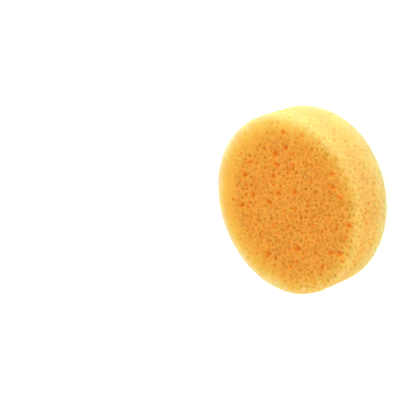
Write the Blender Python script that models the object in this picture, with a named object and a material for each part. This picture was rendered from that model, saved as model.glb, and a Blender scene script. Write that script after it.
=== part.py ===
# A round tack sponge: one disc of open-cell foam, cut from a block and not quite round.
# Both faces are flat, the wall is straight, the edges are soft, and pores open on every side.
# It lies on its underside, with the origin in the middle of that face and +Z up.
import math
import random

import bmesh
import bpy
from mathutils import Matrix, Vector

# The disc, in metres
DIAMETER = 0.0889
THICKNESS = 0.0254
EDGE_RADIUS = 0.0025

# How far the cut outline strays from a circle, as shares of the radius, and the turn of each stray
TWO_LOBE = 0.0143
TWO_LOBE_TURN = math.radians(-46)
THREE_LOBE = 0.0074
THREE_LOBE_TURN = math.radians(144)

# Pores, in metres: the widest ones, the middling ones between them, and the wall left between two
LARGE_PORE_MIN = 0.0022
LARGE_PORE_MAX = 0.0036
MEDIUM_PORE_MIN = 0.0012
MEDIUM_PORE_MAX = 0.0019
PORE_WALL = 0.0004

# A pore's depth as a share of its width on the faces and on the wall, which was cut more finely,
# and how far its centre lies under the skin
PORE_DEPTH = 0.75
WALL_PORE_DEPTH = 0.5
PORE_SINK = 0.25

# The middle of the underside stays flat over this radius, for the sponge to rest on
REST_RADIUS = 0.008

# How uneven a pore is, as a share of its width, and the width from which it is made rounder
UNEVEN = 0.13
ROUNDER_FROM = 0.0028

# How many pores are sought beside those placed by hand, and how often each is tried
UNDERSIDE_LARGE = 26
UPPER_MEDIUM = 46
UNDERSIDE_MEDIUM = 42
WALL_MEDIUM = 62
TRIES = 60

# Fineness of the outline and of each rounded edge
OUTLINE_STEPS = 64
EDGE_STEPS = 3

# The widest pores of the upper face, as share of the radius, degrees from +X, width in mm,
# length over width and the turn of the long way in degrees
UPPER_PORES = (
    (0.62, 76, 3.4, 1.1, 90),
    (0.54, 77, 1.9, 1.2, 0),
    (0.64, 135, 3.4, 1.1, 90),
    (0.54, 118, 2.4, 1.3, 60),
    (0.53, 91, 2.4, 1.2, 90),
    (0.44, 60, 3.2, 1.2, 150),
    (0.60, 41, 3.0, 1.1, 60),
    (0.64, 49, 2.0, 1.2, 90),
    (0.55, 52, 2.2, 1.5, 90),
    (0.63, 26, 2.6, 1.3, 80),
    (0.61, 10, 1.9, 1.0, 0),
    (0.20, 67, 3.0, 1.2, 60),
    (0.30, 126, 2.2, 1.2, 0),
    (0.41, 165, 2.4, 1.1, 90),
    (0.49, 178, 3.6, 1.2, 70),
    (0.55, 189, 2.4, 1.2, 100),
    (0.23, 171, 2.4, 1.9, 130),
    (0.06, 169, 2.2, 1.3, 80),
    (0.14, 8, 3.2, 1.2, 75),
    (0.25, 10, 2.2, 1.1, 0),
    (0.33, 1, 3.0, 1.1, 90),
    (0.20, 345, 1.9, 1.1, 0),
    (0.45, 347, 3.0, 1.3, 60),
    (0.57, 347, 3.6, 1.1, 80),
    (0.16, 238, 2.2, 1.5, 60),
    (0.23, 296, 3.2, 1.2, 110),
    (0.33, 338, 2.0, 1.1, 0),
    (0.41, 324, 2.4, 1.2, 45),
    (0.34, 312, 2.0, 1.5, 0),
    (0.65, 200, 2.0, 1.8, 75),
    (0.80, 196, 2.4, 1.2, 0),
    (0.44, 201, 2.2, 1.2, 30),
    (0.77, 213, 2.8, 1.2, 95),
    (0.87, 218, 2.8, 1.2, 60),
    (0.74, 236, 2.4, 1.2, 150),
    (0.89, 242, 2.8, 1.2, 20),
    (0.87, 232, 2.0, 1.9, 75),
    (0.43, 240, 2.2, 1.9, 100),
    (0.39, 265, 1.9, 1.1, 0),
    (0.74, 272, 2.8, 1.2, 95),
    (0.81, 281, 2.6, 1.3, 70),
    (0.78, 263, 2.2, 1.2, 0),
    (0.79, 256, 2.0, 1.3, 30),
    (0.65, 333, 3.2, 1.1, 0),
    (0.59, 326, 2.2, 1.2, 40),
    (0.81, 336, 3.0, 1.1, 90),
    (0.79, 346, 2.6, 1.2, 70),
    (0.49, 320, 2.2, 1.1, 0),
    (0.50, 288, 2.4, 1.3, 50),
    (0.85, 319, 2.6, 1.2, 90),
    (0.73, 312, 1.9, 1.1, 0),
    (0.71, 294, 1.9, 1.6, 80),
    (0.68, 163, 2.4, 1.2, 60),
    (0.76, 35, 2.4, 1.3, 45),
    (0.70, 83, 2.0, 1.3, 70),
    (0.73, 116, 2.0, 1.2, 0),
)

# The widest pores of the wall, as degrees from +X, share of the thickness up from the underside,
# width in mm, length over width and the turn of the long way in degrees
WALL_PORES = (
    (254, 0.70, 1.8, 1.3, 30),
    (245, 0.58, 2.2, 1.4, 100),
    (236, 0.64, 2.2, 1.3, 20),
    (248, 0.36, 1.8, 1.3, 70),
    (262, 0.46, 1.7, 1.2, 0),
    (273, 0.66, 1.6, 1.3, 80),
    (228, 0.40, 1.8, 1.2, 40),
)

RADIUS = DIAMETER / 2
MILLIMETRE = 0.001


def clear_scene():
    for thing in list(bpy.data.objects):
        bpy.data.objects.remove(thing, do_unlink=True)


def foam_material():
    material = bpy.data.materials.new("yellow_foam")
    material.use_nodes = True
    surface = material.node_tree.nodes["Principled BSDF"]
    surface.inputs["Base Color"].default_value = (0.86, 0.42, 0.06, 1)
    surface.inputs["Roughness"].default_value = 0.9
    surface.inputs["Metallic"].default_value = 0.0
    return material


def outline(turn):
    """How far the cut edge lies from the middle at this turn, as a share of the radius."""
    two = TWO_LOBE * math.cos(2 * turn - TWO_LOBE_TURN)
    three = THREE_LOBE * math.cos(3 * turn - THREE_LOBE_TURN)
    return 1 + two + three


def profile():
    """Half of the disc's section, from the underside up: distance in from the wall, and height."""
    points = []
    for step in range(EDGE_STEPS + 1):
        turn = math.pi / 2 * step / EDGE_STEPS
        points.append((EDGE_RADIUS * (1 - math.sin(turn)), EDGE_RADIUS * (1 - math.cos(turn))))
    return points + [(inset, THICKNESS - height) for inset, height in reversed(points)]


def add_disc(shape):
    """The disc before its pores open: a turned section with an outline that is not quite round."""
    rings = []
    for inset, height in profile():
        ring = []
        for step in range(OUTLINE_STEPS):
            turn = 2 * math.pi * step / OUTLINE_STEPS
            reach = RADIUS * outline(turn) - inset
            ring.append(shape.verts.new((reach * math.cos(turn), reach * math.sin(turn), height)))
        rings.append(ring)
    for lower, upper in zip(rings, rings[1:]):
        for step in range(OUTLINE_STEPS):
            after = (step + 1) % OUTLINE_STEPS
            shape.faces.new((lower[step], lower[after], upper[after], upper[step]))
    shape.faces.new(list(reversed(rings[0])))
    shape.faces.new(rings[-1])


def on_face(share, turn, height, facing):
    """A place on a flat face and the frame there, whose Z axis points out of the foam."""
    reach = RADIUS * outline(turn) * share
    place = Vector((reach * math.cos(turn), reach * math.sin(turn), height))
    flip = Matrix.Rotation(0 if facing > 0 else math.pi, 4, "X")
    return Matrix.Translation(place) @ flip


def on_wall(turn, height):
    """A place on the wall and the frame there, whose Z axis points out of the foam."""
    reach = RADIUS * outline(turn)
    place = Vector((reach * math.cos(turn), reach * math.sin(turn), height))
    return Matrix.Translation(place) @ Matrix.Rotation(turn, 4, "Z") @ Matrix.Rotation(math.pi / 2, 4, "Y")


class Pores:
    """The hollow shapes that open the pores, kept apart from each other by a wall of foam."""

    def __init__(self):
        self.shape = bmesh.new()
        self.taken = []
        self.chance = random.Random(7)

    def is_free(self, place, reach):
        return all((place - other).length > reach + far + PORE_WALL for other, far in self.taken)

    def add(self, frame, width, stretch, turn, depth=PORE_DEPTH):
        """One pore: an uneven egg, sunk a little under the skin."""
        fineness = 2 if width >= ROUNDER_FROM else 1
        made = bmesh.ops.create_icosphere(self.shape, subdivisions=fineness, radius=0.5)["verts"]
        spin = Matrix.Rotation(self.chance.uniform(0, math.pi), 4, "Z")
        lean = Matrix.Rotation(turn, 4, "Z")
        deep = width * depth / (1 + PORE_SINK) * 2
        size = Matrix.Diagonal((width * stretch, width, deep, 1))
        sink = Matrix.Translation((0, 0, -PORE_SINK * deep / 2))
        for vert in made:
            vert.co *= 1 + self.chance.uniform(-UNEVEN, UNEVEN)
            vert.co = frame @ sink @ lean @ size @ spin @ vert.co
        self.taken.append((frame.translation.copy(), width * (1 + stretch) / 4))

    def scatter_on_face(self, count, narrowest, widest, height, facing):
        """Pores at random over one flat face, clear of its rounded edge and of the rest flat."""
        for _ in range(count):
            for _ in range(TRIES):
                width = self.chance.uniform(narrowest, widest)
                limit = 1 - (EDGE_RADIUS + width) / RADIUS
                share = limit * math.sqrt(self.chance.random())
                frame = on_face(share, self.chance.uniform(0, 2 * math.pi), height, facing)
                stretch = self.chance.uniform(1, 1.4)
                turn = self.chance.uniform(0, math.pi)
                on_rest = facing < 0 and share * RADIUS < REST_RADIUS + width
                if not on_rest and self.is_free(frame.translation, width * (1 + stretch) / 4):
                    self.add(frame, width, stretch, turn)
                    break

    def scatter_on_wall(self, count, narrowest, widest):
        """Pores at random round the wall, clear of both rounded edges."""
        for _ in range(count):
            for _ in range(TRIES):
                width = self.chance.uniform(narrowest, widest)
                low = EDGE_RADIUS + width
                height = self.chance.uniform(low, THICKNESS - low)
                frame = on_wall(self.chance.uniform(0, 2 * math.pi), height)
                stretch = self.chance.uniform(1, 1.4)
                turn = self.chance.uniform(0, math.pi)
                if self.is_free(frame.translation, width * (1 + stretch) / 4):
                    self.add(frame, width, stretch, turn, WALL_PORE_DEPTH)
                    break


def build_pores():
    pores = Pores()
    for share, degrees, width, stretch, turn in UPPER_PORES:
        frame = on_face(share, math.radians(degrees), THICKNESS, 1)
        pores.add(frame, width * MILLIMETRE, stretch, math.radians(turn))
    for degrees, share, width, stretch, turn in WALL_PORES:
        frame = on_wall(math.radians(degrees), THICKNESS * share)
        pores.add(frame, width * MILLIMETRE, stretch, math.radians(turn), WALL_PORE_DEPTH)
    pores.scatter_on_face(UNDERSIDE_LARGE, LARGE_PORE_MIN, LARGE_PORE_MAX, 0, -1)
    pores.scatter_on_face(UPPER_MEDIUM, MEDIUM_PORE_MIN, MEDIUM_PORE_MAX, THICKNESS, 1)
    pores.scatter_on_face(UNDERSIDE_MEDIUM, MEDIUM_PORE_MIN, MEDIUM_PORE_MAX, 0, -1)
    pores.scatter_on_wall(WALL_MEDIUM, MEDIUM_PORE_MIN, MEDIUM_PORE_MAX)
    return pores.shape


def add_object(name, shape):
    bmesh.ops.recalc_face_normals(shape, faces=shape.faces)
    mesh = bpy.data.meshes.new(name)
    shape.to_mesh(mesh)
    shape.free()
    thing = bpy.data.objects.new(name, mesh)
    bpy.context.scene.collection.objects.link(thing)
    return thing


def build_sponge():
    disc = bmesh.new()
    add_disc(disc)
    sponge = add_object("sponge", disc)
    sponge.data.materials.append(foam_material())
    sponge.data.shade_smooth()
    sponge.data.set_sharp_from_angle(angle=math.radians(40))

    pores = add_object("pore_cutter", build_pores())
    pores.display_type = "WIRE"
    pores.hide_render = True

    opening = sponge.modifiers.new("open_pores", "BOOLEAN")
    opening.operation = "DIFFERENCE"
    opening.object = pores
    opening.use_self = True

    split = sponge.modifiers.new("split_faces", "TRIANGULATE")
    split.quad_method = "BEAUTY"
    split.ngon_method = "BEAUTY"


clear_scene()
build_sponge()
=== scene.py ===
import math

import bmesh
import bpy
import numpy as np
import openvdb
from mathutils import Matrix, Vector


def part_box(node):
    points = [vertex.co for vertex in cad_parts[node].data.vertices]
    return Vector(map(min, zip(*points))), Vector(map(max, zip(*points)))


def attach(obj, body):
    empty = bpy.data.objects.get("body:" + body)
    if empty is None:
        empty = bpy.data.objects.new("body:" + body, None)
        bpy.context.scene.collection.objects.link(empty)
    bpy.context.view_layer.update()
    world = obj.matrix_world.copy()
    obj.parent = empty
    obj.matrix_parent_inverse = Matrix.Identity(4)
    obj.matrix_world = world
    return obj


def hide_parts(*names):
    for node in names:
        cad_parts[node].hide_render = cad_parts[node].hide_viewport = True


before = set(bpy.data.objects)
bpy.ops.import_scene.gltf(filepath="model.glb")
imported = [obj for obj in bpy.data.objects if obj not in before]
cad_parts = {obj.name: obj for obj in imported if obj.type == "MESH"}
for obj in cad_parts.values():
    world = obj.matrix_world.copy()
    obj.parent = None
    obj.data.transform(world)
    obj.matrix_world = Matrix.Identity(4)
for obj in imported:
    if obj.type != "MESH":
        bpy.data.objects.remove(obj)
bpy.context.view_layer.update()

# The sponge is one disc of soft yellow foam, cut from a block with a knife, so every bubble that
# the knife met lies open. The widest are open in the plain disc already. Here its whole skin gets
# the smaller ones, the unevenness of cut foam, and the nap that stands proud of the disc.
MILLIMETRE = 0.001
NAP = 0.21 * MILLIMETRE

plain_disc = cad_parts["sponge"]
lowest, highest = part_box("sponge")
thickness = highest.z - lowest.z


def corners_of(mesh):
    """A mesh's points, moved out by the nap, and its triangles."""
    mesh.calc_loop_triangles()
    points = np.empty(len(mesh.vertices) * 3, np.float32)
    mesh.vertices.foreach_get("co", points)
    points = points.reshape(-1, 3)
    points *= 1 + NAP / np.array((highest.x, highest.y, thickness), np.float32)
    triangles = np.empty(len(mesh.loop_triangles) * 3, np.int32)
    mesh.loop_triangles.foreach_get("vertices", triangles)
    return points, triangles.reshape(-1, 3).astype(np.uint32)


def stretched_skin(mesh):
    """The disc as it was before its pores opened: a skin stretched round it."""
    shape = bmesh.new()
    shape.from_mesh(mesh)
    hull = bmesh.ops.convex_hull(shape, input=shape.verts, use_existing_faces=False)
    spare = [item for item in hull["geom_interior"] if isinstance(item, bmesh.types.BMVert)]
    bmesh.ops.delete(shape, geom=spare, context="VERTS")
    skin = bpy.data.meshes.new("skin")
    shape.to_mesh(skin)
    shape.free()
    return skin


# The foam is worked on a grid of points, which hold how far each lies outside the foam. The margin
# round the disc and the two reaches are counted in steps of the grid.
FOAM_STEP = 0.40 * MILLIMETRE
GRID_MARGIN = 6
SKIN_REACH = 14
PORE_REACH = 4
first_cell = np.floor(np.array(lowest) / FOAM_STEP).astype(int) - GRID_MARGIN
last_cell = np.ceil(np.array(highest) / FOAM_STEP).astype(int) + GRID_MARGIN
first_corner = tuple(int(c) for c in first_cell)
cells = tuple(last_cell - first_cell + 1)
grid_step = openvdb.createLinearTransform(voxelSize=FOAM_STEP)


def distances(mesh, reach):
    """How far each grid point lies outside the mesh's surface, below nought inside it."""
    points, triangles = corners_of(mesh)
    grid = openvdb.FloatGrid.createLevelSetFromPolygons(
        points, triangles=triangles, transform=grid_step, halfWidth=reach
    )
    field = np.empty(cells, np.float32)
    grid.copyToArray(field, ijk=first_corner)
    return field


def softened(field, times):
    """The grid's values, evened out with their neighbours' a few times."""
    for turn in range(times):
        for axis in range(3):
            field = (np.roll(field, 1, axis) + 2 * field + np.roll(field, -1, axis)) / 4
    return field


# Torn cell walls soften a wide pore's edge, and fill this share of its depth. The mark that tells
# where the wide pores lie is softened once more, so that the painted shade in them runs out a little.
PORE_FILL = 0.22
PORE_SOFTENING = 2
MARK_SOFTENING = 2
skin_mesh = stretched_skin(plain_disc.data)
skin = distances(skin_mesh, SKIN_REACH)
foam = softened(distances(plain_disc.data, PORE_REACH), PORE_SOFTENING)
foam = skin + (1 - PORE_FILL) * (foam - skin)
wide_pores = softened(foam - skin, MARK_SOFTENING)

# The smaller bubbles come in two sizes: how many at most, and their smallest and largest radius in
# millimetres. A bubble's middle lies above the skin, by a share of its radius that is written as a
# sink below nought, so the knife left only its bottom. Up to three places are tried for each.
BUBBLE_SIZES = ((5000, 0.75, 1.30), (14000, 0.42, 0.75))
BUBBLE_SINK = (-0.68, -0.08)
BUBBLE_WALL = 0.05 * MILLIMETRE
BUBBLE_BLOCK = 2 * BUBBLE_SIZES[0][2] * MILLIMETRE + BUBBLE_WALL
PLACES_A_BUBBLE = 3
BUBBLE_SEED = 11
chance = np.random.default_rng(BUBBLE_SEED)

# On the side painted as lit, bubbles near the rim of a face are shallower by up to this share of a
# radius, and those on the wall have down to this share of their radius.
LIT_SIDE = math.radians(48)
RIM_REACH = 14 * MILLIMETRE
RIM_SHALLOWER = 0.65
LIT_WALL_BUBBLE = 0.7

# A place belongs to a face where its way out rises more than this, and to the wall elsewhere. The
# outline is read from the skin's points that reach at least this share of the furthest.
FACE_RISE = 0.5
OUTLINE_SHARE = 0.93

# A bubble is worked out for a few grid steps past its radius
BUBBLE_EDGE = 2


def open_bubble(centre, radius):
    """Hollows one round bubble out of the foam."""
    middle = centre / FOAM_STEP - first_cell
    reach = radius / FOAM_STEP + BUBBLE_EDGE
    low = np.maximum(np.floor(middle - reach).astype(int), 0)
    high = np.minimum(np.ceil(middle + reach).astype(int) + 1, cells)
    box = tuple(slice(a, b) for a, b in zip(low, high))
    steps = np.ogrid[box]
    away = sum((step - m) ** 2 for step, m in zip(steps, middle))
    np.maximum(foam[box], radius - np.sqrt(away) * FOAM_STEP, out=foam[box])


def places_on_skin(count):
    """Random places spread evenly over the whole skin, with the way out of the foam at each."""
    points, triangles = corners_of(skin_mesh)
    a, b, c = (points[triangles[:, k]].astype(float) for k in range(3))
    across = np.cross(b - a, c - a)
    area = np.linalg.norm(across, axis=1)
    chosen = chance.choice(len(area), count, p=area / area.sum())
    u, v = chance.random((2, count, 1))
    over = (u + v) > 1
    u, v = np.where(over, 1 - u, u), np.where(over, 1 - v, v)
    places = a[chosen] + u * (b - a)[chosen] + v * (c - a)[chosen]
    return places, across[chosen] / area[chosen, None]


def rim_distance(points):
    """How far each point lies from the nearer of the disc's two rims, and how far inside its outline."""
    turn = np.arctan2(points[:, 1], points[:, 0])
    hull, _ = corners_of(skin_mesh)
    reach = np.hypot(hull[:, 0], hull[:, 1])
    widest = reach > reach.max() * OUTLINE_SHARE
    hull_turn = np.arctan2(hull[widest, 1], hull[widest, 0])
    order = np.argsort(hull_turn)
    edge = np.interp(turn, hull_turn[order], reach[widest][order], period=2 * math.pi)
    inward = edge - np.hypot(points[:, 0], points[:, 1])
    level = np.minimum(points[:, 2] - lowest.z, highest.z - points[:, 2])
    return np.hypot(np.maximum(inward, 0), np.maximum(level, 0)), inward


def towards(points, side):
    """How near each point lies to one side of the disc, from 0 to 1."""
    along = points[:, 0] * math.cos(side) + points[:, 1] * math.sin(side)
    return np.clip(0.5 + 0.5 * along / highest.x, 0, 1)


def neighbours(taken, block):
    """The bubbles open in a block of space, as wide as the widest of them, and in those round it."""
    return [
        other
        for dx in (-1, 0, 1)
        for dy in (-1, 0, 1)
        for dz in (-1, 0, 1)
        for other in taken.get((block[0] + dx, block[1] + dy, block[2] + dz), ())
    ]


def scatter_bubbles(taken, count, smallest, largest):
    """Opens bubbles all over the skin, each kept a thin wall away from those already there."""
    places, outward = places_on_skin(count * PLACES_A_BUBBLE)
    rims, _ = rim_distance(places)
    sides = towards(places, LIT_SIDE)
    opened = 0
    for place, out, rim, side in zip(places, outward, rims, sides):
        radius = chance.uniform(smallest, largest) * MILLIMETRE
        sink = chance.uniform(*BUBBLE_SINK)
        if abs(out[2]) > FACE_RISE:
            sink -= RIM_SHALLOWER * side * max(0.0, 1 - rim / RIM_REACH)
        else:
            radius *= 1 + (LIT_WALL_BUBBLE - 1) * side
        centre = place - out * radius * sink
        block = tuple(np.floor(centre / BUBBLE_BLOCK).astype(int))
        near = neighbours(taken, block)
        if any(np.linalg.norm(centre - c) < radius + r + BUBBLE_WALL for c, r in near):
            continue
        taken.setdefault(block, []).append((centre, radius))
        open_bubble(centre, radius)
        opened += 1
        if opened == count:
            break


opened_bubbles = {}
for count, smallest, largest in BUBBLE_SIZES:
    scatter_bubbles(opened_bubbles, count, smallest, largest)

# The skin isn't quite even: it rises and falls by so many millimetres, over so many millimetres
SKIN_WAVES = ((0.12, 5.0), (0.16, 2.2), (0.10, 1.0))
FIRST_WAVE_SEED = 20


def waves(size, seed):
    """Smooth random waves over the grid, from -1 to 1, as wide as size."""
    lattice = [int(math.ceil(n * FOAM_STEP / size)) + 2 for n in cells]
    field = np.random.default_rng(seed).uniform(-1, 1, lattice).astype(np.float32)
    for axis, count in enumerate(cells):
        at = np.arange(count) * FOAM_STEP / size
        low = np.floor(at).astype(int)
        share = (at - low).astype(np.float32)
        share = share * share * (3 - 2 * share)
        form = [1, 1, 1]
        form[axis] = count
        share = share.reshape(form)
        field = np.take(field, low, axis) * (1 - share) + np.take(field, low + 1, axis) * share
    return field


for number, (height, width) in enumerate(SKIN_WAVES):
    foam += height * MILLIMETRE / 2 * waves(width * MILLIMETRE, FIRST_WAVE_SEED + number)

# Nothing reaches below what the sponge lies on
levels = (first_cell[2] + np.arange(cells[2])) * FOAM_STEP - lowest.z
foam = np.maximum(foam, -levels.astype(np.float32))

# The grid is turned back into a skin of small faces, thinned to what the piece may have
FOAM_FACES = 198000


def loose_crumbs(shape):
    """Every patch of faces that isn't part of the largest one."""
    left = set(shape.faces)
    patches = []
    while left:
        start = left.pop()
        patch, edge = [start], [start]
        while edge:
            face = edge.pop()
            for line in face.edges:
                for other in line.link_faces:
                    if other in left:
                        left.remove(other)
                        patch.append(other)
                        edge.append(other)
        patches.append(patch)
    patches.sort(key=len)
    return [face for patch in patches[:-1] for face in patch]


grid = openvdb.FloatGrid(PORE_REACH * FOAM_STEP)
grid.transform = grid_step
grid.gridClass = openvdb.GridClass.LEVEL_SET
grid.copyFromArray(foam, ijk=first_corner, tolerance=0)
points, triangles, quads = grid.convertToPolygons(isovalue=0, adaptivity=0)
faces = [quad[::-1].tolist() for quad in quads] + [triangle[::-1].tolist() for triangle in triangles]
foam_mesh = bpy.data.meshes.new("foam_disc")
foam_mesh.from_pydata(points.tolist(), [], faces)
foam_mesh.validate()
foam_disc = bpy.data.objects.new("foam_disc", foam_mesh)
bpy.context.scene.collection.objects.link(foam_disc)
shape = bmesh.new()
shape.from_mesh(foam_mesh)
bmesh.ops.delete(shape, geom=loose_crumbs(shape), context="FACES")
shape.to_mesh(foam_mesh)
shape.free()
triangle_count = sum(len(face.vertices) - 2 for face in foam_mesh.polygons)
thin_out = foam_disc.modifiers.new("thin_out", "DECIMATE")
thin_out.ratio = min(1.0, FOAM_FACES / triangle_count)
thinned = foam_disc.evaluated_get(bpy.context.evaluated_depsgraph_get())
foam_disc.data = bpy.data.meshes.new_from_object(thinned)
foam_disc.modifiers.clear()
foam_mesh = foam_disc.data
foam_mesh.shade_smooth()


def look_up(field, points):
    """The grid's value at each point, between its eight neighbours."""
    at = points / FOAM_STEP - first_cell
    low = np.clip(np.floor(at).astype(int), 0, np.array(cells) - 2)
    share = at - low
    total = np.zeros(len(points))
    for corner in range(8):
        step = np.array([corner & 1, corner >> 1 & 1, corner >> 2 & 1])
        weight = np.prod(np.where(step, share, 1 - share), axis=1)
        x, y, z = (low + step).T
        total += weight * field[x, y, z]
    return total


# Each point of the skin is marked with where it lies, for the colours: how deep under the skin, how
# deep in a wide pore, how far from a rim, from the outline and from the upper face, and how near to
# the side that the colours paint as lit and to the side whose rim gets a painted glow.
RIM_GLOW_SIDE = math.radians(78)
places = np.empty(len(foam_mesh.vertices) * 3, np.float32)
foam_mesh.vertices.foreach_get("co", places)
places = places.reshape(-1, 3).astype(float)
depth = np.clip(-look_up(skin, places), 0, SKIN_REACH * FOAM_STEP)
wide = np.clip(look_up(wide_pores, places), 0, PORE_REACH * FOAM_STEP)
rim, inward = rim_distance(places)
marks = {
    "depth_mm": depth / MILLIMETRE,
    "wide_mm": wide / MILLIMETRE,
    "rim_mm": rim / MILLIMETRE,
    "inward_mm": inward / MILLIMETRE,
    "down_mm": (highest.z - places[:, 2]) / MILLIMETRE,
    "lit_side": towards(places, LIT_SIDE),
    "glow_side": towards(places, RIM_GLOW_SIDE),
}
for name, values in marks.items():
    layer = foam_mesh.attributes.new(name, "FLOAT", "POINT")
    layer.data.foreach_set("value", values.astype(np.float32))

# The foam's colours, with light and shade painted into them. They are deepest in the pores and in
# the middle of a face, and palest at the rims and on the side painted as lit. The bright and shaded
# copies are painted light and shade, the palest rims and lower wall are painted light shining through
# thin edges, and the deep colour in pores, bubbles and cells is painted shade. A face's go by the
# millimetres from its rim, the wall's by those down from the upper face.
FACE_SHADED = (
    (0.0, (0.97, 0.775, 0.160)),
    (2.5, (0.97, 0.530, 0.060)),
    (7.0, (0.98, 0.402, 0.032)),
    (16.0, (1.00, 0.410, 0.034)),
)
FACE_BRIGHT = (
    (0.0, (1.00, 0.745, 0.320)),
    (3.0, (1.00, 0.665, 0.130)),
    (8.0, (1.00, 0.480, 0.043)),
    (16.0, (1.00, 0.416, 0.034)),
)
# On the shaded side, the wall's band just below the rim is a painted highlight, and its lower part is
# painted light shining through the lower edge
WALL_SHADED = (
    (0.0, (0.97, 0.640, 0.125)),
    (3.5, (0.97, 0.600, 0.105)),
    (8.0, (0.98, 0.490, 0.066)),
    (16.0, (1.00, 0.610, 0.108)),
    (25.0, (1.00, 0.800, 0.310)),
)
WALL_BRIGHT = (
    (0.0, (1.00, 0.715, 0.220)),
    (9.0, (1.00, 0.695, 0.200)),
    (16.0, (1.00, 0.720, 0.220)),
    (25.0, (1.00, 0.780, 0.350)),
)
# Painted shade: the deeper, darker orange of the wide pores' hollows on the faces and the wall, and a
# paler one where the rim is painted as lit
FACE_PORE_SHADE = (1.00, 0.360, 0.014)
WALL_PORE_SHADE = (0.97, 0.480, 0.080)
LIT_RIM_PORE_SHADE = (1.00, 0.560, 0.070)
# Painted glow at one side's rim, as if light shone through its thin edge
RIM_GLOW = (1.00, 0.810, 0.520)
# Painted shade in the hollows of the smaller bubbles, on the faces and on the wall
FACE_BUBBLE_SHADE = (1.00, 0.97, 0.86)
WALL_BUBBLE_SHADE = (0.97, 0.90, 0.78)
# Painted shade in the hollows of the cells finer than the mesh
FACE_CELL_SHADE = (0.78, 0.70, 0.36)
WALL_CELL_SHADE = (0.83, 0.76, 0.72)
WHITE = (1.0, 1.0, 1.0)

# Where one colour passes into the next, in millimetres: inside the outline, deep in a pore, under
# the skin, from a rim, and down from the upper face
WALL_STARTS = (0.6, 2.2)
PORE_STARTS = (0.0, 0.3)
BUBBLE_STARTS = (0.1, 0.7)
RIM_GLOW_WIDTH = 5.5
LIT_RIM_WIDTH = 22.0
LOW_WALL = (12.0, 25.0)

# How strongly the side painted as lit and the side with the painted rim glow tell, and how
# little of the painted shade of the cells shows there
LIT_SIDE_GAIN = 1.6
RIM_GLOW_RANGE = (0.5, 0.95)
RIM_GLOW_STRENGTH = 0.75
LIT_RIM_RANGE = (0.24, 1.10)
LIT_RIM_FACE_CELLS = 0.05
LIT_WALL_RANGE = (0.0, 0.5)
LIT_WALL_CELLS = 0.22
LOW_WALL_CELLS = 0.5

# The cells that are finer than the mesh: how many to the metre, how far each reaches in shares of
# their spacing, and how much its painted shade tells.
CELL_LAYERS = {
    "fine": (1150, 0.75, 1.0),
    "finest": (2300, 0.75, 0.7),
    "coarse": (620, 0.7, 0.95),
    "wide": (380, 0.7, 0.95),
}
CELL_SHADE_STRENGTH = 0.88

# The shallowest cell's share of the deepest one's depth, and how much painted cell shade is left in a
# wide pore
SHALLOWEST_CELL = 0.35
PORE_CELL_SHADE = 0.65

# How strongly the two finest layers stand out as bump, and how high
CELL_BUMPS = {
    "fine": (0.6, 0.25 * MILLIMETRE),
    "finest": (0.5, 0.12 * MILLIMETRE),
}

# The foam's tone drifts a little over a centimetre or so
CLOUD_SCALE = 90
CLOUD_DETAIL = 3
CLOUD_RANGE = (0.3, 0.7)
CLOUD_TONE = (0.95, 1.03)

# The surface is dull, with a soft sheen, and light spreads in it by millimetres, red the furthest
ROUGHNESS = (0.82, 0.96)
SPECULAR = 0.25
SHEEN = 0.15
SHEEN_ROUGHNESS = 0.6
SHEEN_TINT = (1.0, 0.9, 0.7)
LIGHT_REACH = 4.0 * MILLIMETRE
LIGHT_SPREAD = (1.6, 0.5, 0.2)


def arithmetic(tree, operation, first, second=None, clamp=False):
    """One step of arithmetic, on sockets or numbers, and the socket it puts out."""
    node = tree.nodes.new("ShaderNodeMath")
    node.operation = operation
    node.use_clamp = clamp
    for socket, value in zip(node.inputs, (first, second)):
        if isinstance(value, (int, float)):
            socket.default_value = value
        elif value is not None:
            tree.links.new(value, socket)
    return node.outputs[0]


def map_range(tree, value, low, high, to_low=0.0, to_high=1.0, kind="SMOOTHSTEP"):
    """A value's place between two others, as a number between two more."""
    node = tree.nodes.new("ShaderNodeMapRange")
    node.interpolation_type = kind
    tree.links.new(value, node.inputs["Value"])
    ends = {"From Min": low, "From Max": high, "To Min": to_low, "To Max": to_high}
    for label, end in ends.items():
        if isinstance(end, (int, float)):
            node.inputs[label].default_value = end
        else:
            tree.links.new(end, node.inputs[label])
    return node.outputs["Result"]


# Where the Mix node has its colours, among sockets that share their names
FIRST_COLOUR = 6
SECOND_COLOUR = 7
MIXED_COLOUR = 2


def mix_colours(tree, share, first, second, kind="MIX"):
    """Two colours mixed by a share."""
    mix = tree.nodes.new("ShaderNodeMix")
    mix.data_type = "RGBA"
    mix.blend_type = kind
    for label, value in (("Factor", share), (FIRST_COLOUR, first), (SECOND_COLOUR, second)):
        socket = mix.inputs[label]
        if isinstance(value, (int, float)):
            socket.default_value = value
        elif isinstance(value, tuple):
            socket.default_value = (*value, 1)
        else:
            tree.links.new(value, socket)
    return mix.outputs[MIXED_COLOUR]


def ramp(tree, value, stops):
    """The colour between stops, each a distance in millimetres and a colour."""
    reach = stops[-1][0]
    colours = tree.nodes.new("ShaderNodeValToRGB")
    elements = colours.color_ramp.elements
    for number, (at, colour) in enumerate(stops):
        stop = elements[number] if number < len(elements) else elements.new(at / reach)
        stop.position = at / reach
        stop.color = (*colour, 1)
    tree.links.new(arithmetic(tree, "DIVIDE", value, reach), colours.inputs["Fac"])
    return colours.outputs["Color"]


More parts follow.
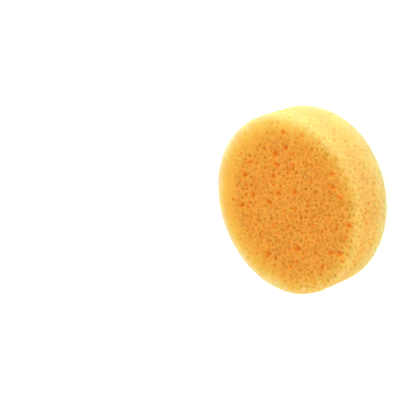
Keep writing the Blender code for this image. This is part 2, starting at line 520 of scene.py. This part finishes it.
def open_cells():
    """Round open cells cut by a knife: how deep each point lies in its cell, and a height for bump."""
    group = bpy.data.node_groups.new("open_cells", "ShaderNodeTree")
    group.interface.new_socket("Place", in_out="INPUT", socket_type="NodeSocketVector")
    group.interface.new_socket("Cells", in_out="INPUT", socket_type="NodeSocketFloat")
    group.interface.new_socket("Reach", in_out="INPUT", socket_type="NodeSocketFloat")
    group.interface.new_socket("Hollow", in_out="OUTPUT", socket_type="NodeSocketFloat")
    group.interface.new_socket("Height", in_out="OUTPUT", socket_type="NodeSocketFloat")
    start = group.nodes.new("NodeGroupInput")
    end = group.nodes.new("NodeGroupOutput")
    cell = group.nodes.new("ShaderNodeTexVoronoi")
    cell.feature = "F1"
    group.links.new(start.outputs["Place"], cell.inputs["Vector"])
    group.links.new(start.outputs["Cells"], cell.inputs["Scale"])
    bowl = map_range(group, cell.outputs["Distance"], 0.0, start.outputs["Reach"], 1.0, 0.0)
    own = group.nodes.new("ShaderNodeSeparateColor")
    group.links.new(cell.outputs["Color"], own.inputs["Color"])
    own_depth = arithmetic(group, "MULTIPLY", own.outputs["Red"], 1 - SHALLOWEST_CELL)
    own_depth = arithmetic(group, "ADD", own_depth, SHALLOWEST_CELL)
    hollow = arithmetic(group, "MULTIPLY", own_depth, bowl)
    group.links.new(hollow, end.inputs["Hollow"])
    group.links.new(arithmetic(group, "SUBTRACT", 1.0, hollow), end.inputs["Height"])
    return group


def cell_layers(tree, place):
    """The layers of cells that are finer than the mesh, by name."""
    cells_group = open_cells()
    layers = {}
    for name, (to_the_metre, reach, _) in CELL_LAYERS.items():
        layer = tree.nodes.new("ShaderNodeGroup")
        layer.node_tree = cells_group
        tree.links.new(place, layer.inputs["Place"])
        layer.inputs["Cells"].default_value = to_the_metre
        layer.inputs["Reach"].default_value = reach
        layers[name] = layer
    return layers


def painted_shade_shown(tree, mark, on_wall):
    """How much painted shade in pores, bubbles and cells shows: all of it mid-face, little at a lit rim.
    """
    near_rim = map_range(tree, mark["rim_mm"], 0.0, LIT_RIM_WIDTH, 1.0, 0.0)
    lit_rim = arithmetic(tree, "ADD", mark["lit_side"], mark["glow_side"])
    lit_rim = arithmetic(tree, "MULTIPLY", lit_rim, near_rim)
    face = map_range(tree, lit_rim, *LIT_RIM_RANGE, 1.0, LIT_RIM_FACE_CELLS)
    wall = map_range(tree, mark["lit_side"], *LIT_WALL_RANGE, 1.0, LIT_WALL_CELLS)
    low_wall = map_range(tree, mark["down_mm"], *LOW_WALL, 1.0, LOW_WALL_CELLS)
    wall = arithmetic(tree, "MULTIPLY", wall, low_wall)
    on_face = arithmetic(tree, "SUBTRACT", 1.0, on_wall)
    face = arithmetic(tree, "MULTIPLY", face, on_face)
    wall = arithmetic(tree, "MULTIPLY", wall, on_wall)
    return arithmetic(tree, "ADD", face, wall)


def skin_colour(tree, mark, on_wall):
    """Skin between the pores: faces and wall, painted from shaded to lit side, with a painted rim glow.
    """
    # Painted light: the bright copies are mixed over the shaded ones towards the lit side
    lit_share = arithmetic(tree, "MULTIPLY", mark["lit_side"], LIT_SIDE_GAIN, clamp=True)
    lit_share = arithmetic(tree, "SQRT", lit_share)
    face_shaded = ramp(tree, mark["rim_mm"], FACE_SHADED)
    face_bright = ramp(tree, mark["rim_mm"], FACE_BRIGHT)
    wall_shaded = ramp(tree, mark["down_mm"], WALL_SHADED)
    wall_bright = ramp(tree, mark["down_mm"], WALL_BRIGHT)
    face = mix_colours(tree, lit_share, face_shaded, face_bright)
    wall = mix_colours(tree, lit_share, wall_shaded, wall_bright)
    skin = mix_colours(tree, on_wall, face, wall)
    # Painted glow: one side's rim turns whiter, as if light shone through its thin edge
    glow_side = map_range(tree, mark["glow_side"], *RIM_GLOW_RANGE, 0.0, RIM_GLOW_STRENGTH)
    rim_glow_band = map_range(tree, mark["rim_mm"], 0.0, RIM_GLOW_WIDTH, 1.0, 0.0)
    return mix_colours(tree, arithmetic(tree, "MULTIPLY", glow_side, rim_glow_band), skin, RIM_GLOW)


def tinted(tree, colour, share, on_wall, face_tint, wall_tint):
    """A colour with a tint laid over a share of it, one tint on the faces and one on the wall."""
    full_tint = mix_colours(tree, on_wall, face_tint, wall_tint)
    tint = mix_colours(tree, share, WHITE, full_tint)
    return mix_colours(tree, 1.0, colour, tint, "MULTIPLY")


def cell_shade_of(tree, layers, shade_shown, in_pore):
    """How dark the painted shade in the fine cells' hollows makes the foam, from 0 to 1."""
    cell_shade = 0.0
    for name, (_, _, strength) in CELL_LAYERS.items():
        layer_shade = arithmetic(tree, "MULTIPLY", layers[name].outputs["Hollow"], strength)
        cell_shade = arithmetic(tree, "ADD", cell_shade, layer_shade)
    cell_shade = arithmetic(tree, "MULTIPLY", cell_shade, CELL_SHADE_STRENGTH)
    cell_shade = arithmetic(tree, "MULTIPLY", cell_shade, shade_shown, clamp=True)
    smooth_pore = map_range(tree, in_pore, 0.0, 1.0, 1.0, PORE_CELL_SHADE)
    return arithmetic(tree, "MULTIPLY", cell_shade, smooth_pore)


def cloud_tone(tree, place):
    """A grey that drifts a little about white."""
    cloud = tree.nodes.new("ShaderNodeTexNoise")
    tree.links.new(place, cloud.inputs["Vector"])
    cloud.inputs["Scale"].default_value = CLOUD_SCALE
    cloud.inputs["Detail"].default_value = CLOUD_DETAIL
    grey = map_range(tree, cloud.outputs["Fac"], *CLOUD_RANGE, *CLOUD_TONE)
    tone = tree.nodes.new("ShaderNodeCombineColor")
    for socket in tone.inputs:
        tree.links.new(grey, socket)
    return tone.outputs["Color"]


def cell_bump(tree, layers):
    """The way out of the foam over its fine cells, one layer's bump on another's."""
    normal = None
    for name, (strength, height) in CELL_BUMPS.items():
        bump = tree.nodes.new("ShaderNodeBump")
        bump.inputs["Strength"].default_value = strength
        bump.inputs["Distance"].default_value = height
        tree.links.new(layers[name].outputs["Height"], bump.inputs["Height"])
        if normal is not None:
            tree.links.new(normal, bump.inputs["Normal"])
        normal = bump.outputs["Normal"]
    return normal


def foam_material():
    """Dull yellow foam that light spreads in, coloured by where each point lies, with light and shade
    painted in.
    """
    material = bpy.data.materials.new("yellow_foam")
    material.use_nodes = True
    tree = material.node_tree
    surface = tree.nodes["Principled BSDF"]
    surface.inputs["Specular IOR Level"].default_value = SPECULAR
    surface.inputs["Sheen Weight"].default_value = SHEEN
    surface.inputs["Sheen Roughness"].default_value = SHEEN_ROUGHNESS
    surface.inputs["Sheen Tint"].default_value = (*SHEEN_TINT, 1)
    surface.inputs["Subsurface Weight"].default_value = 1.0
    surface.inputs["Subsurface Radius"].default_value = LIGHT_SPREAD
    surface.inputs["Subsurface Scale"].default_value = LIGHT_REACH

    place = tree.nodes.new("ShaderNodeTexCoord").outputs["Object"]
    mark = {}
    for name in marks:
        attribute = tree.nodes.new("ShaderNodeAttribute")
        attribute.attribute_name = name
        mark[name] = attribute.outputs["Fac"]
    layers = cell_layers(tree, place)

    on_wall = map_range(tree, mark["inward_mm"], *WALL_STARTS, 1.0, 0.0)
    in_pore = map_range(tree, mark["wide_mm"], *PORE_STARTS)
    in_bubble = map_range(tree, mark["depth_mm"], *BUBBLE_STARTS)
    shade_shown = painted_shade_shown(tree, mark, on_wall)

    colour = skin_colour(tree, mark, on_wall)
    # Painted shade in the bubbles, by their depth under the skin
    bubble_shade = arithmetic(tree, "MULTIPLY", in_bubble, shade_shown)
    colour = tinted(tree, colour, bubble_shade, on_wall, FACE_BUBBLE_SHADE, WALL_BUBBLE_SHADE)
    # Painted shade in the wide pores
    pore_shade = mix_colours(tree, on_wall, FACE_PORE_SHADE, WALL_PORE_SHADE)
    pore_shade = mix_colours(tree, shade_shown, LIT_RIM_PORE_SHADE, pore_shade)
    colour = mix_colours(tree, in_pore, colour, pore_shade)
    # Painted shade in the fine cells' hollows
    cell_shade = cell_shade_of(tree, layers, shade_shown, in_pore)
    colour = tinted(tree, colour, cell_shade, on_wall, FACE_CELL_SHADE, WALL_CELL_SHADE)
    colour = mix_colours(tree, 1.0, colour, cloud_tone(tree, place), "MULTIPLY")
    tree.links.new(colour, surface.inputs["Base Color"])

    rough = map_range(tree, layers["fine"].outputs["Hollow"], 0.0, 1.0, *ROUGHNESS)
    tree.links.new(rough, surface.inputs["Roughness"])
    tree.links.new(cell_bump(tree, layers), surface.inputs["Normal"])
    return material


foam_disc.data.materials.clear()
foam_disc.data.materials.append(foam_material())
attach(foam_disc, "root")
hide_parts("sponge")

# The table is a plain white board with a dull finish, which the sponge lies on. It takes the
# sponge's soft shadow, and glows a little to the camera, so that it shows white.
TABLE_SIZE = 3.0
TABLE_GAP = 0.1 * MILLIMETRE
TABLE_GREY = 0.94
TABLE_ROUGHNESS = 0.8
TABLE_GLOW = 0.45


def board_material():
    """White board, with a glow that only the camera, gloss and glass see."""
    board = bpy.data.materials.new("white_board")
    board.use_nodes = True
    tree = board.node_tree
    surface = tree.nodes["Principled BSDF"]
    surface.inputs["Base Color"].default_value = (TABLE_GREY, TABLE_GREY, TABLE_GREY, 1)
    surface.inputs["Roughness"].default_value = TABLE_ROUGHNESS
    surface.inputs["Specular IOR Level"].default_value = 0.0
    ray = tree.nodes.new("ShaderNodeLightPath")
    seen = arithmetic(tree, "MAXIMUM", ray.outputs["Is Camera Ray"], ray.outputs["Is Glossy Ray"])
    seen = arithmetic(tree, "MAXIMUM", seen, ray.outputs["Is Transmission Ray"])
    glow = tree.nodes.new("ShaderNodeEmission")
    glow.inputs["Color"].default_value = (*WHITE, 1)
    tree.links.new(arithmetic(tree, "MULTIPLY", seen, TABLE_GLOW), glow.inputs["Strength"])
    both = tree.nodes.new("ShaderNodeAddShader")
    tree.links.new(surface.outputs[0], both.inputs[0])
    tree.links.new(glow.outputs[0], both.inputs[1])
    tree.links.new(both.outputs[0], tree.nodes["Material Output"].inputs["Surface"])
    return board


bpy.ops.mesh.primitive_plane_add(size=TABLE_SIZE, location=(0, 0, lowest.z - TABLE_GAP))
table = bpy.context.object
table.name = "table"
table.data.materials.append(board_material())

# The light is that of an even white room, brighter at eye level than overhead. One wide soft lamp
# stands off the side of the sponge that shows brightest, and points at it.
HORIZON = 1.82
ZENITH = 0.635
ZENITH_STARTS = 0.8
LAMP_PLACE = (0.42, 0.04, 0.22)
LAMP_SIZE = 0.4
LAMP_POWER = 0.65
world = bpy.data.worlds.new("white_room")
bpy.context.scene.world = world
world.use_nodes = True
room = world.node_tree.nodes["Background"]
room.inputs["Color"].default_value = (*WHITE, 1)
way = world.node_tree.nodes.new("ShaderNodeTexCoord")
split_way = world.node_tree.nodes.new("ShaderNodeSeparateXYZ")
world.node_tree.links.new(way.outputs["Generated"], split_way.inputs[0])
upward = split_way.outputs["Z"]
brightness = map_range(world.node_tree, upward, 0.0, ZENITH_STARTS, HORIZON, ZENITH, "LINEAR")
world.node_tree.links.new(brightness, room.inputs["Strength"])

lamp_data = bpy.data.lights.new("wide_lamp", "AREA")
lamp_data.shape = "SQUARE"
lamp_data.size = LAMP_SIZE
lamp_data.energy = LAMP_POWER
lamp = bpy.data.objects.new("wide_lamp", lamp_data)
bpy.context.scene.collection.objects.link(lamp)
lamp.location = LAMP_PLACE
lamp.rotation_euler = (-lamp.location).to_track_quat("-Z", "Y").to_euler()

# The camera has a long lens and looks down on the sponge's upper face. It is rolled, so that the
# sponge seems to stand on its rim, with its wall at the right. The picture's width, the place of
# the sponge's middle in it and the lens are in pixels, and the sensor is in millimetres.
PICTURE = 400
SPONGE_PIXEL = (300.34, 199.23)
FOCAL_PIXELS = 1483.3
SENSOR = 36.0
DISTANCE = 0.7293
ELEVATION = math.radians(44.86)
ROLL = math.radians(-109.12)
away = Vector((0, math.cos(ELEVATION), -math.sin(ELEVATION)))
level_up = Vector((0, math.sin(ELEVATION), math.cos(ELEVATION)))
right = math.cos(ROLL) * Vector((1, 0, 0)) + math.sin(ROLL) * level_up
up = right.cross(away)
off_right = (SPONGE_PIXEL[0] - PICTURE / 2) * DISTANCE / FOCAL_PIXELS
off_down = (SPONGE_PIXEL[1] - PICTURE / 2) * DISTANCE / FOCAL_PIXELS
middle = Vector((0, 0, thickness / 2))
camera_data = bpy.data.cameras.new("camera")
camera_data.sensor_width = SENSOR
camera_data.lens = FOCAL_PIXELS / PICTURE * SENSOR
camera = bpy.data.objects.new("camera", camera_data)
bpy.context.scene.collection.objects.link(camera)
camera.matrix_world = Matrix((
    (right.x, up.x, -away.x, 0),
    (right.y, up.y, -away.y, 0),
    (right.z, up.z, -away.z, 0),
    (0, 0, 0, 1),
))
camera.location = middle - off_right * right + off_down * up - DISTANCE * away
bpy.context.scene.camera = camera
bpy.context.scene.view_settings.view_transform = "Standard"
